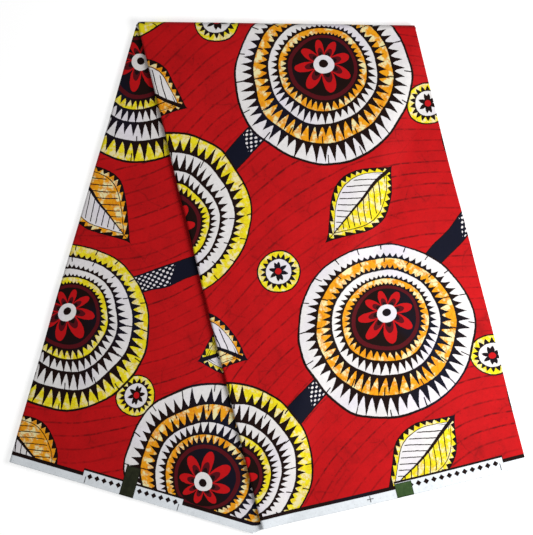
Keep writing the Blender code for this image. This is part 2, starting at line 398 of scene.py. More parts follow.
def across_cloth(along, share):
    """Distance from the lower selvedge in the unfolded cloth."""
    lower = leg_length(share, False) * np.clip(along, None, 1)
    upper = leg_length(share, True) * np.clip(along - 2, 0, None)
    fold = CLOTH_WIDTH - leg_length(share, False) - leg_length(share, True)
    return lower + fold * np.clip(along - 1, 0, 1) + upper


def two_faces(rows, columns, mirrored=False):
    """Quads of a sheet with two faces and a rim between them. A mirrored one has its sides swapped."""
    grid = np.arange(rows * columns).reshape(rows, columns)
    top = np.stack([grid[:-1, :-1], grid[:-1, 1:], grid[1:, 1:], grid[1:, :-1]], axis=-1).reshape(-1, 4)
    rim = np.concatenate([grid[0, :], grid[1:, -1], grid[-1, -2::-1], grid[-2:0:-1, 0]])
    first, second = np.roll(rim, -1), rim
    if mirrored:
        top = top[:, [0, 3, 2, 1]]
        first, second = second, first
    edge = np.stack([first, second, second + rows * columns, first + rows * columns], axis=-1)
    return np.concatenate([top, top[:, ::-1] + rows * columns, edge])


def lay_cloth(name, course, along, lines):
    """A piece of cloth with both its faces and its edges, mapped in metres of unfolded cloth."""
    anchor, offset, height, out_x, out_h, unrolled, slope, lower_stand, upper_stand, askew = course.columns()
    width = width_at(along)[:, None]
    across = np.where(anchor == RIGHT, width + offset, np.broadcast_to(offset, (len(along), len(offset))))
    between = anchor == BETWEEN
    across[:, between] = lines[:, offset[between].astype(int)]
    share = across / width
    lengthways = np.where(between, unrolled + slope * STRIP * share, np.broadcast_to(unrolled, across.shape))
    place_along = along[:, None]
    skewed = lower_stand * (STAND_AT_LEFT + (STAND_AT_RIGHT - STAND_AT_LEFT) * share)
    lower = np.clip(1 - place_along, 0, 1) * skewed / leg_length(share, False)
    upper = np.clip(place_along - 2, 0, 1) * upper_stand / leg_length(share, True)
    lean = np.clip(1 - place_along / ASKEW_RUN, 0, 1) * np.clip((share - ASKEW_FROM) / (1 - ASKEW_FROM), 0, 1)
    across = across + askew * ASKEW * lean**2
    slant = np.clip(across - width, 0, None) * askew * ASKEW_SLANT * lean
    stood = place_along - lower + upper + slant / leg_length(share, False)
    faces = []
    for side in (0.5, -0.5):
        faces.append(place(stood, across + out_x * CLOTH * side, height + out_h * CLOTH * side))
    middle = (faces[0] + faces[1]) / 2
    points = np.concatenate([face.reshape(-1, 3) for face in faces])
    unfolded = np.stack([lengthways, across_cloth(place_along, share)], axis=-1)
    edges = {
        "first_end": (middle[:, 0], middle[:, 0] - middle[:, 1], unfolded[:, 0]),
        "last_end": (middle[:, -1], middle[:, -1] - middle[:, -2], unfolded[:, -1]),
        "lower_selvedge": (middle[0], middle[0] - middle[1], unfolded[0]),
        "upper_selvedge": (middle[-1], middle[-1] - middle[-2], unfolded[-1]),
    }
    flat = unfolded.reshape(-1, 2)
    return add_piece(name, points, two_faces(*across.shape), np.concatenate([flat, flat])), edges


def link(name, data):
    """A new object in the scene."""
    thing = bpy.data.objects.new(name, data)
    bpy.context.scene.collection.objects.link(thing)
    return thing


def add_piece(name, points, quads, unfolded):
    """A piece of sheet, mapped by each point's place in the unfolded cloth or paper."""
    mesh = bpy.data.meshes.new(name)
    mesh.from_pydata(points, [], quads)
    layer = mesh.uv_layers.new(name="Cloth")
    layer.uv.foreach_set("vector", unfolded[quads.reshape(-1)].reshape(-1).astype(np.float32))
    mesh.validate()
    mesh.shade_smooth()
    mesh.set_sharp_from_angle(angle=math.radians(SHARP_ANGLE))
    return link(name, mesh)


def make_outer_cloth():
    """The two strips that show, with the folded edge between them and the lip over the hidden layers."""
    along = rows_along(**OUTER_ROWS)
    course = Course(sum(OUTER_LINES) + 1)
    course.end(0, CUT_BACK[0])
    course.end(0, CUT_BEND)
    course.flat(0)
    course.turn(0, LEFT_STEPS)
    course.flat(1)
    course.turn(1, LIP_STEPS)
    course.end(2, LIP_REACH)
    return lay_cloth("outer_cloth", course, along, flat_lines(along, *OUTER_LINES))


def make_inner_cloth():
    """The fourteen hidden strips, one run of cloth from fold to fold."""
    along = rows_along(**INNER_ROWS)
    course = Course(sum(INNER_LINES) + 1)
    course.end(2, INNER_START)
    for strip in range(2, LAYERS):
        course.flat(strip)
        if strip < LAYERS - 1:
            course.turn(strip, HIDDEN_STEPS)
    course.end(15, CUT_BACK[1])
    return lay_cloth("inner_cloth", course, along, flat_lines(along, *INNER_LINES))


# Writing node trees


class Term:
    """A number in a node tree. Plain sums on it add Math nodes."""

    def __init__(self, nodes, socket):
        self.nodes = nodes
        self.socket = socket

    def maths(self, operation, *others):
        return self.nodes.node("ShaderNodeMath", {"operation": operation}, [self, *others])

    def __add__(self, other):
        return self.maths("ADD", other)

    def __sub__(self, other):
        return self.maths("SUBTRACT", other)

    def __rsub__(self, other):
        return self.nodes.node("ShaderNodeMath", {"operation": "SUBTRACT"}, [other, self])

    def __mul__(self, other):
        return self.maths("MULTIPLY", other)

    def __truediv__(self, other):
        return self.maths("DIVIDE", other)

    def __pow__(self, other):
        return self.maths("POWER", other)

    __radd__ = __add__
    __rmul__ = __mul__

    def size(self):
        return self.maths("ABSOLUTE")

    def fraction(self):
        return self.maths("FRACT")

    def nearest(self):
        return self.maths("ROUND")

    def least(self, other):
        return self.maths("MINIMUM", other)

    def most(self, other):
        return self.maths("MAXIMUM", other)

    def sine(self):
        return self.maths("SINE")

    def cosine(self):
        return self.maths("COSINE")

    def clamped(self):
        return self.nodes.node("ShaderNodeClamp", {}, [self, 0.0, 1.0])

    def within(self, softness):
        """1 where this distance is below nothing, 0 where it is above, with a soft edge."""
        return (0.5 - self / softness).clamped()

    def above(self, level, steepness):
        """0 below a level, rising past it up to 1."""
        return ((self - level) * steepness).clamped()

    def teeth(self):
        """A triangle wave of this number: 1 at whole numbers, 0 half way between them."""
        return (self.fraction() - 0.5).size() * 2.0

    def off_whole(self):
        """Distance from the nearest whole number."""
        return 0.5 - (self.fraction() - 0.5).size()

    def turn(self, sideways):
        """Angle of a point with this height and that distance sideways, in whole turns."""
        return self.maths("ARCTAN2", sideways) / (2 * math.pi)


class Nodes:
    """A node tree under construction."""

    def __init__(self, tree):
        self.tree = tree

    def node(self, kind, settings, inputs, output=0):
        """A node with its settings, then the values or links of its sockets, by number or by name."""
        made = self.tree.nodes.new(kind)
        for name, value in settings.items():
            setattr(made, name, value)
        pairs = inputs.items() if isinstance(inputs, dict) else enumerate(inputs)
        for key, value in pairs:
            self.feed(made.inputs[key], value)
        return Term(self, made.outputs[output])

    def feed(self, socket, value):
        if isinstance(value, Term):
            self.tree.links.new(value.socket, socket)
        elif isinstance(value, tuple) and len(value) == 3 and socket.type == "RGBA":
            socket.default_value = (*value, 1.0)
        else:
            socket.default_value = value

    def split(self, vector):
        made = self.node("ShaderNodeSeparateXYZ", {}, [vector]).socket.node
        return tuple(Term(self, socket) for socket in made.outputs)

    def join(self, x, y, z=0.0):
        return self.node("ShaderNodeCombineXYZ", {}, [x, y, z])


class Finish(Nodes):
    """A material under construction."""

    def __init__(self, name):
        self.material = bpy.data.materials.new(name)
        self.material.use_nodes = True
        super().__init__(self.material.node_tree)
        self.surface = self.tree.nodes["Principled BSDF"]
        self.ink = BLACK
        self.white = WHITE

    def set(self, **sockets):
        for name, value in sockets.items():
            self.feed(self.surface.inputs[name.replace("_", " ")], value)

    def mix(self, first, second, share):
        """Colour between two colours."""
        settings = {"data_type": "RGBA", "clamp_factor": True}
        return self.node("ShaderNodeMix", settings, {0: share, 6: first, 7: second}, 2)

    def printed(self, base, dye, distance):
        """A dye over a base where the distance from a shape's outline is below nothing."""
        return self.mix(base, dye, distance.within(PRINT_EDGE))

    def noise(self, vector, scale, detail=2.0, roughness=0.5, layer=0.0, output=0):
        """Soft noise. Another layer gives another draw of the same grain."""
        inputs = {"Vector": vector, "W": layer, "Scale": scale, "Detail": detail, "Roughness": roughness}
        return self.node("ShaderNodeTexNoise", {"noise_dimensions": "4D"}, inputs, output)

    def bump(self, height, distance, strength, under=None):
        inputs = {"Strength": strength, "Distance": distance, "Height": height}
        if under is not None:
            inputs["Normal"] = under
        return self.node("ShaderNodeBump", {}, inputs)


# Threads along the cloth's edges

FRAY = {
    "Start": (-0.0003, 0.0, 0.0),
    "Middle": (0.0008, 0.0003, 0.0001),
    "End": (0.0016, -0.0002, 0.0003),
    "Thickness": 0.00007,
    "Sides": 4,
    "Bends": 4,
    "Spacing": 0.0009,
    "Share Kept": 0.62,
    "Least Size": 0.35,
    "Untidiness": 0.55,
    "Seed": 4,
}
WEFT_LOOPS = {
    "Start": (-0.0002, -0.00030, 0.0),
    "Middle": (0.0010, 0.0, 0.0),
    "End": (-0.0002, 0.00030, 0.0),
    "Thickness": 0.00010,
    "Sides": 3,
    "Bends": 3,
    "Spacing": 0.0014,
    "Share Kept": 0.95,
    "Least Size": 0.75,
    "Untidiness": 0.12,
    "Seed": 9,
}
SOCKET_KINDS = {tuple: "NodeSocketVector", float: "NodeSocketFloat", int: "NodeSocketInt"}
THREAD_CLEAR = 0.00003  # least height of the threads above the ground


def edge_threads_tree():
    """Geometry Nodes tree: short threads of three points, standing out along an edge."""
    nodes = Nodes(bpy.data.node_groups.new("edge_threads", "GeometryNodeTree"))
    interface = nodes.tree.interface
    interface.new_socket("Edge", in_out="INPUT", socket_type="NodeSocketGeometry")
    for name, value in FRAY.items():
        interface.new_socket(name, in_out="INPUT", socket_type=SOCKET_KINDS[type(value)])
    interface.new_socket("Finish", in_out="INPUT", socket_type="NodeSocketMaterial")
    interface.new_socket("Threads", in_out="OUTPUT", socket_type="NodeSocketGeometry")
    given = nodes.tree.nodes.new("NodeGroupInput").outputs
    given = {socket.name: Term(nodes, socket) for socket in given if socket.name}

    curve = nodes.node("GeometryNodeMeshToCurve", {}, {"Mesh": given["Edge"]})
    curve = nodes.node(
        "GeometryNodeResampleCurve", {"mode": "LENGTH"}, {"Curve": curve, "Length": given["Spacing"]}
    )
    points = {name: given[name] for name in ("Start", "Middle", "End")}
    path = nodes.node("GeometryNodeCurveQuadraticBezier", {}, {"Resolution": given["Bends"], **points})
    round_thread = nodes.node(
        "GeometryNodeCurvePrimitiveCircle",
        {"mode": "RADIUS"},
        {"Resolution": given["Sides"], "Radius": given["Thickness"]},
    )
    thread = nodes.node(
        "GeometryNodeCurveToMesh", {}, {"Curve": path, "Profile Curve": round_thread, "Fill Caps": True}
    )
    vectors = {"data_type": "FLOAT_VECTOR"}
    outwards = nodes.node("GeometryNodeInputNamedAttribute", vectors, {"Name": "outwards"})
    tangent = nodes.node("GeometryNodeInputTangent", {}, {})
    turned = nodes.node("FunctionNodeAlignRotationToVector", {"axis": "X"}, {"Vector": outwards})
    turned = nodes.node(
        "FunctionNodeAlignRotationToVector",
        {"axis": "Y", "pivot_axis": "X"},
        {"Rotation": turned, "Vector": tangent},
    )
    untidy = given["Untidiness"]
    most = nodes.join(untidy, untidy, untidy)
    least = nodes.node("ShaderNodeVectorMath", {"operation": "SCALE"}, {0: most, "Scale": -1.0})
    jitter = nodes.node("FunctionNodeRandomValue", vectors, {0: least, 1: most, "Seed": given["Seed"]})
    jitter = nodes.node("FunctionNodeEulerToRotation", {}, {"Euler": jitter})
    turned = nodes.node(
        "FunctionNodeRotateRotation", {"rotation_space": "LOCAL"}, {"Rotation": turned, "Rotate By": jitter}
    )
    size = nodes.node(
        "FunctionNodeRandomValue",
        {"data_type": "FLOAT"},
        {2: given["Least Size"], 3: 1.0, "Seed": given["Seed"]},
        1,
    )
    kept = nodes.node(
        "FunctionNodeRandomValue",
        {"data_type": "BOOLEAN"},
        {"Probability": given["Share Kept"], "Seed": given["Seed"]},
        3,
    )
    threads = nodes.node(
        "GeometryNodeInstanceOnPoints",
        {},
        {"Points": curve, "Selection": kept, "Instance": thread, "Rotation": turned, "Scale": size},
    )
    threads = nodes.node("GeometryNodeRealizeInstances", {}, {"Geometry": threads})
    position = nodes.split(nodes.node("GeometryNodeInputPosition", {}, {}))
    off_floor = nodes.join(position[0], position[1], position[2].most(THREAD_CLEAR))
    threads = nodes.node("GeometryNodeSetPosition", {}, {"Geometry": threads, "Position": off_floor})
    unfolded = nodes.node("GeometryNodeInputNamedAttribute", vectors, {"Name": "unfolded"})
    threads = nodes.node(
        "GeometryNodeStoreNamedAttribute",
        {"data_type": "FLOAT2", "domain": "CORNER"},
        {"Geometry": threads, "Name": "Cloth", "Value": unfolded},
    )
    threads = nodes.node("GeometryNodeSetMaterial", {}, {"Geometry": threads, "Material": given["Finish"]})
    ending = nodes.tree.nodes.new("NodeGroupOutput")
    nodes.feed(ending.inputs["Threads"], threads)
    return nodes.tree


def edge_threads(name, edges, tree, sizes, finish):
    """Threads along some edges of a cloth, as one plain mesh that keeps the print at their feet."""
    points = np.concatenate([edge[0] for edge in edges])
    outwards = np.concatenate([edge[1] for edge in edges])
    unfolded = np.concatenate([edge[2] for edge in edges])
    links, first = [], 0
    for edge in edges:
        count = len(edge[0])
        links += [(first + step, first + step + 1) for step in range(count - 1)]
        first += count
    mesh = bpy.data.meshes.new(name + "_line")
    mesh.from_pydata(points, links, [])
    flat = np.pad(unfolded, ((0, 0), (0, 1)))
    for label, values in (("outwards", outwards), ("unfolded", flat)):
        stored = mesh.attributes.new(label, "FLOAT_VECTOR", "POINT")
        stored.data.foreach_set("vector", values.reshape(-1).astype(np.float32))
    piece = link(name, mesh)
    modifier = piece.modifiers.new("threads", "NODES")
    modifier.node_group = tree
    given = [socket for socket in tree.interface.items_tree if socket.in_out == "INPUT"]
    sockets = {socket.name: socket.identifier for socket in given}
    for label, value in sizes.items():
        modifier[sockets[label]] = value
    modifier[sockets["Finish"]] = finish
    depsgraph = bpy.context.evaluated_depsgraph_get()
    made = bpy.data.meshes.new_from_object(piece.evaluated_get(depsgraph), depsgraph=depsgraph)
    piece.modifiers.clear()
    piece.data = made
    made.name = name
    bpy.data.meshes.remove(mesh)
    made.shade_smooth()
    return piece


# Labels

LABEL_PAPER = 0.00016  # thickness
LABEL_CLEAR = 0.00012  # gap between the cloth and the paper
LABEL_TAIL = 0.0045  # how far the paper hangs down over the open end
LABEL_BEND = 0.0007  # radius of its bend
LABEL_COLUMNS = 11
FLAT_STEPS, BEND_STEPS, TAIL_STEPS = 18, 8, 5
LABELS = (
    {"name": "label_left", "upper": False, "from_corner": 0.1483, "width": 0.0175, "length": 0.0370},
    {"name": "label_right", "upper": True, "from_corner": 0.1800, "width": 0.0210, "length": 0.0170},
)


def label_path(length):
    """Distance onto the cloth and height above its face, from the inner edge down over the open end."""
    path = [(length * (1 - step / FLAT_STEPS), 0.0) for step in range(FLAT_STEPS)]
    for step in range(BEND_STEPS + 1):
        angle = math.pi / 2 * step / BEND_STEPS
        path.append((LABEL_BEND * (1 - math.sin(angle)) - LABEL_CLEAR, LABEL_BEND * (math.cos(angle) - 1)))
    for step in range(1, TAIL_STEPS + 1):
        path.append((-LABEL_CLEAR, -LABEL_BEND - (LABEL_TAIL - LABEL_BEND) * step / TAIL_STEPS))
    return np.array(path)


def make_label(name, upper, from_corner, width, length):
    """A label's paper with both its faces, mapped in metres across it and along its path."""
    path = label_path(length)
    tangent = np.gradient(path, axis=0)
    tangent /= np.linalg.norm(tangent, axis=1, keepdims=True)
    normal = np.stack([tangent[:, 1], -tangent[:, 0]], axis=1)
    sideways = np.linspace(-width / 2, width / 2, LABEL_COLUMNS)
    across = from_corner + sideways[None, :]
    open_end = UPPER_RIGHT - UPPER_LEFT if upper else LOWER_RIGHT - LOWER_LEFT
    leg = leg_length(across / np.linalg.norm(open_end), upper)
    faces = []
    for lift in (LABEL_CLEAR + LABEL_PAPER, LABEL_CLEAR):
        ridden = path + normal * lift
        onto, above = ridden[:, 0][:, None], ridden[:, 1][:, None]
        if upper:
            faces.append(place(3 - onto / leg, across, -above))
        else:
            faces.append(place(onto / leg, across, BUNDLE + above))
    shape = faces[0].shape[:2]
    points = np.concatenate([face.reshape(-1, 3) for face in faces])
    steps = np.linalg.norm(np.diff(path, axis=0), axis=1)
    run = np.concatenate([[0], np.cumsum(steps)])[:, None]
    flat = np.stack([np.broadcast_to(sideways, shape), np.broadcast_to(run, shape)], axis=-1).reshape(-1, 2)
    return add_piece(name + "_paper", points, two_faces(*shape, mirrored=True), np.concatenate([flat, flat]))


# Colours of the dyes, as light comes off them
RED = (0.440, 0.0040, 0.0058)
DEEP_RED = (0.110, 0.0020, 0.0030)
MAROON = (0.075, 0.0030, 0.0060)
WHITE = (0.672, 0.650, 0.642)
LILAC_WHITE = (0.647, 0.608, 0.676)
SELVEDGE_WHITE = (0.655, 0.690, 0.722)
CREAM = (0.740, 0.660, 0.340)
YELLOW = (0.725, 0.620, 0.012)
DEEP_YELLOW = (0.620, 0.420, 0.009)
ORANGE = (0.720, 0.300, 0.008)
DEEP_ORANGE = (0.620, 0.180, 0.005)
BLACK = (0.0078, 0.0017, 0.0010)
NAVY = (0.0030, 0.0036, 0.0120)
PIN_GREY = (0.200, 0.200, 0.220)

PRINT_EDGE = 0.00040  # softness of a printed outline

# How unevenly the dyes took: where the pale patches begin, and how fine and strong the deeper veins are
PATCH_LEVEL, PATCH_STEEPNESS = 0.485, 12.0
MARBLE_FINENESS, MARBLE_STRENGTH = 26.0, 0.80

# How far a hand-cut block strays from its drawing, broadly and finely
BROAD_SHAKE = 0.014
FINE_SHAKE = 0.0010

# The repeat: roundels stand in columns, every other column half a repeat lower, with a leaf between each two.
# A dotted bar leads from each roundel to the next column one way, and a rosette stands between them the
# other way
COLUMN = 0.226
REPEAT = 0.315
PRINT_START = (0.120, 0.040)

# Hatched red ground: the lines' spacing, how far and how fast they fan out, how far they stray from that
# broadly and finely, their width, wear and strength
HATCH = 0.0150
HATCH_FAN = 0.150
FAN_ALONG, FAN_ACROSS = 4.8, 1.4
BROAD_STRAY, FINE_STRAY = 0.050, 0.004
HATCH_LINE = 0.0013
HATCH_WEAR = 0.0017
HATCH_STRENGTH = 0.94

# Crackle of the wax
CRACK_CELLS, CRACK_FINENESS, CRACK_STRENGTH = 30.0, 26.0, 0.55
CRACK_BEND = 0.022

# Bars between the roundels
BAR = 0.0112
BAR_OUTLINE = 0.0011
DOTTED_SHARE = 0.90  # of a bar's width
DOT_RUN, DOT_ASIDE = 0.0040, 0.0033
DOT_LEVEL, DOT_SOFTNESS = 0.34, 0.25

# Rosettes, from the outline in
ROSETTE = 0.0265
ROSETTE_OUTLINE = 0.0017
ROSETTE_TOOTHED = 0.0165
ROSETTE_TOOTH, ROSETTE_TEETH = 0.0060, 18.0
ROSETTE_WHITE = 0.0155
STAR = 0.0060
STAR_RAY, STAR_RAYS = 0.0065, 7.0
STAR_EYE = 0.0040

# Leaves, from the outline in
LEAF_LENGTH = 0.064
LEAF_WIDTH = 0.036
LEAF_SHIFT = 0.021  # towards the thin side of the next roundel
LEAF_TILT = 36
LEAF_POINT = 1.45
LEAF_LOPSIDED = 0.28
LEAF_OUTLINE = 0.0016
LEAF_TOOTH, LEAF_TOOTH_PITCH, LEAF_TOOTH_SLANT = 0.0058, 0.0082, 0.35
LEAF_MARGIN = 0.0082
LEAF_BLADE = 0.0093
VEIN, VEIN_PITCH, VEIN_SLANT, VEIN_END = 0.0016, 0.0100, 0.9, 0.0112
MIDRIB, MIDRIB_TAPER, MIDRIB_END = 0.0012, 1.2, 0.0020

# Roundels. A ring, counted from the outside in, has the outer edge of its band, as a share of the radius, the
# outer and inner end of its thin spokes and their number, and the foot, depth and number of its teeth
ROUNDEL = 0.106
SMALLER = 0.004  # an odd column's roundels are this much smaller
OFF_CENTRE = 0.20
OFF_SIDEWAYS = 0.2  # how far they are off centre along the cloth, for each metre across it
RINGS = (
    {"band": 0.977, "spokes": (0.99, 0.905, 18), "teeth": (0.808, 0.109, 60.0)},
    {"band": 0.782, "spokes": (0.79, 0.720, 14), "teeth": (0.630, 0.098, 54.0)},
    {"band": 0.604, "spokes": None, "teeth": (0.502, 0.074, 50.0)},
    {"band": 0.480, "spokes": None, "teeth": (0.396, 0.056, 46.0)},
)
SPOKE = 0.0007
TOOTH_POINT = 1.55
TOOTH_UNEVEN, TOOTH_LEAST, TOOTH_MOST = 2.3, 0.55, 1.14  # how unevenly the teeth are cut
HEART, FLOWER_GROUND = 0.376, 0.335
PETAL_FOOT, PETAL_REACH, PETAL_PAIRS = 0.115, 0.195, 4
PETAL_MIDDLE, PETAL_CORE = 0.66, 0.48  # shares of a petal's length
EYE, PUPIL = 0.105, 0.045

# Printed edge of the cloth, measured from the upper selvedge
SELVEDGE = 0.0106
BORDER = 0.0152
BOX_TOP = 0.0175
LOWER_SLIP = 0.0016  # the print lies this much nearer the lower selvedge
BOX_REPEAT = 0.654
BOX_HALF = 0.066
BOX_START = 0.489  # along the cloth, at its lower selvedge
OTHER_BOX_START = 0.093  # and at its upper one
BOX_OUTLINE, BOX_TOP_OUTLINE = 0.0009, 0.0025
DIAMOND_PITCH = 0.0095
DIAMOND = 0.0036
DIAMOND_ROW = 0.0118
PIN, PIN_PITCH, PIN_ROW = 0.0003, 0.0080, 0.0045
TICK = 0.0040  # inside each end of a box
TICK_HALF, TICK_ROW = 0.0036, 0.0066
CROSS = 0.0990  # from a box's middle to the mark beside it, at the upper selvedge
CROSS_HALF, CROSS_ROW = 0.0034, 0.0062
MARK_LINE = 0.00055  # half the width of a tick's or cross's lines
MARK_STRENGTH = 0.9

THREAD_PITCH = 0.00055


def unfolded_place(finish):
    """Where a point is in the unfolded cloth: along its length and across its width."""
    place_node = finish.node("ShaderNodeUVMap", {"uv_map": "Cloth"}, [])
    along, across, _ = finish.split(place_node)
    return place_node, along, across


def radius(along, across):
    """Distance from the middle of a motif."""
    return (along * along + across * across) ** 0.5


def hand_drawn(finish, place_node, along, across):
    """The same place, shaken as a print block's lines are."""
    broad = finish.split(finish.noise(place_node, 15.0, detail=1.0, output=1))
    fine = finish.split(finish.noise(place_node, 240.0, detail=1.0, output=1))
    shaken_along = along + (broad[0] - 0.5) * BROAD_SHAKE + (fine[0] - 0.5) * FINE_SHAKE
    shaken_across = across + (broad[1] - 0.5) * BROAD_SHAKE + (fine[1] - 0.5) * FINE_SHAKE
    return shaken_along, shaken_across


def marbled(finish, place_node, dye, deeper, scale):
    """A dye that took unevenly: pale patches, and deeper veins where it ran together."""
    patches = finish.noise(place_node, scale, roughness=0.55)
    veins = finish.noise(place_node, scale * 1.1, layer=3.7)
    vein = (1.0 - (veins - 0.5).size() * MARBLE_FINENESS).clamped()
    colour = finish.mix(dye, CREAM, patches.above(PATCH_LEVEL, PATCH_STEEPNESS))
    return finish.mix(colour, deeper, vein * MARBLE_STRENGTH)


def hatched(finish, red, place_node, along, across):
    """Fanning hatch lines, each of its own strength and broken here and there."""
    fan = (along * FAN_ALONG + across * FAN_ACROSS).sine() * HATCH_FAN
    broad_drift = finish.noise(place_node, 4.0, detail=1.0) * BROAD_STRAY
    drift = broad_drift + finish.noise(place_node, 21.0, detail=1.0) * FINE_STRAY
    lines = (across + fan + drift) / HATCH
    each_line = finish.noise(finish.join(lines.nearest() * 3.7, along * 7.0), 1.0, detail=1.0)
    broken = finish.noise(place_node, 130.0, roughness=0.7)
    strength = each_line.above(0.24, 2.6) * broken.above(0.33, 4.8)
    line = (lines.off_whole() * HATCH - broken * HATCH_WEAR).within(HATCH_LINE)
    return finish.mix(red, DEEP_RED, line * strength * HATCH_STRENGTH)


def crackled(finish, red, place_node, cloud):
    """Thin cracks and specks where the wax broke, mostly in the darker clouds."""
    bent = [finish.noise(place_node, 34.0, output=1), (CRACK_BEND, CRACK_BEND, 0.0), place_node]
    bent = finish.node("ShaderNodeVectorMath", {"operation": "MULTIPLY_ADD"}, bent)
    to_edge = {"feature": "DISTANCE_TO_EDGE"}
    cells = finish.node("ShaderNodeTexVoronoi", to_edge, {"Vector": bent, "Scale": CRACK_CELLS})
    cracks = (1.0 - cells * CRACK_FINENESS).clamped() * cloud.above(0.5, 6.0)
    red = finish.mix(red, DEEP_RED, cracks * CRACK_STRENGTH)
    specks = finish.noise(place_node, 380.0, detail=1.0, layer=5.1).above(0.635, 14.0)
    return finish.mix(red, DEEP_RED, specks * (cloud * 1.6 - 0.45).clamped())


def ground_cloth(finish, place_node, along, across):
    """Red ground, a little darker in clouds, with its hatch lines and crackle."""
    cloud = finish.noise(place_node, 26.0, detail=3.0, roughness=0.6)
    red = finish.mix(RED, DEEP_RED, cloud.above(0.42, 0.80))
    red = hatched(finish, red, place_node, along, across)
    return crackled(finish, red, place_node, cloud)


def bars(finish, base, along, across):
    """Navy bars between the roundels, along one diagonal of the repeat, each dotted along one half."""
    diagonal = math.hypot(COLUMN, REPEAT / 2)
    cosine, sine = COLUMN / diagonal, REPEAT / 2 / diagonal
    run = along * cosine + across * sine
    aside = across * cosine - along * sine
    lattice = (run * (math.pi / DOT_RUN)).cosine() * (aside * (math.pi / DOT_ASIDE)).cosine()
    dots = (lattice * -1.0 + DOT_LEVEL).within(DOT_SOFTNESS)
    dots = dots * (aside.size() - BAR * DOTTED_SHARE).within(PRINT_EDGE) * (run * -1.0).within(0.001)
    base = finish.printed(base, finish.ink, aside.size() - BAR - BAR_OUTLINE)
    base = finish.printed(base, NAVY, aside.size() - BAR)
    return finish.mix(base, finish.white, dots)


def rosette(finish, base, along, across, gold):
    """A small toothed round with a star in it, half way to the next column."""
    off_along = along.size() - COLUMN / 2
    off_across = across * along.maths("SIGN") + REPEAT / 4
    reach = radius(off_along, off_across)
    turn = off_across.turn(off_along)
    tooth = (turn * ROSETTE_TEETH).teeth() * ROSETTE_TOOTH
    ray = (turn * STAR_RAYS).teeth() * STAR_RAY
    base = finish.printed(base, finish.ink, reach - ROSETTE)
    base = finish.printed(base, gold, reach - ROSETTE + ROSETTE_OUTLINE)
    base = finish.printed(base, finish.ink, reach - ROSETTE_TOOTHED - tooth)
    base = finish.printed(base, finish.white, reach - ROSETTE_WHITE)
    base = finish.printed(base, finish.ink, reach - STAR - ray)
    return finish.printed(base, RED, reach - STAR_EYE)


def leaf(finish, base, along, across, tilt, gold):
    """An ordinary leaf with a toothed margin, a midrib and side veins."""
    cosine, sine = math.cos(math.radians(LEAF_TILT)), math.sin(math.radians(LEAF_TILT))
    aside = across * cosine - along * tilt * sine
    run = along * cosine + across * tilt * sine
    length = run / LEAF_LENGTH
    taper = (1.0 - length * length).most(0.0) ** LEAF_POINT
    depth = taper * (1.0 - length * LEAF_LOPSIDED) * LEAF_WIDTH - aside.size()
    tooth = ((run + aside.size() * LEAF_TOOTH_SLANT) / LEAF_TOOTH_PITCH).teeth() * LEAF_TOOTH
    blade = (LEAF_BLADE - depth).within(PRINT_EDGE)
    vein = ((run - aside.size() * VEIN_SLANT) / VEIN_PITCH).fraction() * VEIN_PITCH - VEIN
    vein = vein.within(PRINT_EDGE) * (VEIN_END - depth).within(PRINT_EDGE)
    rib = (aside.size() - (MIDRIB_TAPER - length) * MIDRIB).within(PRINT_EDGE)
    rib = rib * (MIDRIB_END - depth).within(PRINT_EDGE)
    base = finish.printed(base, finish.ink, depth * -1.0)
    base = finish.printed(base, gold, tooth + LEAF_OUTLINE - depth)
    base = finish.printed(base, finish.ink, LEAF_MARGIN - depth)
    base = finish.mix(base, gold, blade)
    base = finish.mix(base, finish.white, blade * aside.within(PRINT_EDGE))
    base = finish.mix(base, finish.ink, vein)
    return finish.mix(base, finish.ink, rib)


def roundel(finish, base, along, across, odd, which, dyes):
    """A round of toothed rings, set off centre about a plain flower."""
    reach = radius(along, across)
    lean = along * OFF_SIDEWAYS + across * (1.0 - odd * 2.0)
    share = reach * reach / ((ROUNDEL - odd * SMALLER) * (reach + lean * OFF_CENTRE))
    swell = lean / reach * 0.5 + 1.0
    turn = across.turn(along)
    soft = PRINT_EDGE / ROUNDEL

    def disc(colour, edge):
        return finish.mix(base, colour, (share - edge).within(soft))

    def by_number(count, ring):
        """A random number for each tooth or spoke of a ring."""
        angle = (turn * count).nearest() * (2 * math.pi / count)
        around = finish.join(angle.cosine() * 9.0, angle.sine() * 9.0)
        return finish.noise(around, 1.0, detail=1.0, layer=which + ring * 8.0)

    def toothed(edge, depth, count):
        """Edge of a ring with pointed teeth cut by hand, longer where the ring is wide."""
        cut = (by_number(count, edge) * TOOTH_UNEVEN - 0.10).most(TOOTH_LEAST).least(TOOTH_MOST)
        return edge + (turn * count).teeth() ** TOOTH_POINT * swell * cut * depth

    def spokes(outer, inner, count):
        """Thin lines from a ring's outer edge part of the way in."""
        beside = (turn * count).off_whole() * reach * (2 * math.pi / count)
        stop = by_number(count, outer) * 0.12 + (inner - 0.06)
        band = (share - outer).within(soft) * (stop - share).within(soft)
        return finish.mix(base, finish.ink, (beside - SPOKE).within(PRINT_EDGE) * band)

    base = disc(finish.ink, 1.0)
    for ring, dye in zip(RINGS, dyes):
        base = disc(dye, ring["band"])
        if ring["spokes"]:
            base = spokes(*ring["spokes"])
        base = disc(finish.ink, toothed(*ring["teeth"]))
    base = disc(MAROON, HEART)
    base = disc(finish.ink, FLOWER_GROUND)
    petal = PETAL_FOOT + (turn * (PETAL_PAIRS * 2 * math.pi)).cosine().size() * PETAL_REACH
    base = disc(RED, petal)
    base = disc(MAROON, petal * PETAL_MIDDLE)
    base = disc(finish.ink, petal * PETAL_CORE)
    base = disc(finish.white, EYE)
    return disc(finish.ink, PUPIL)


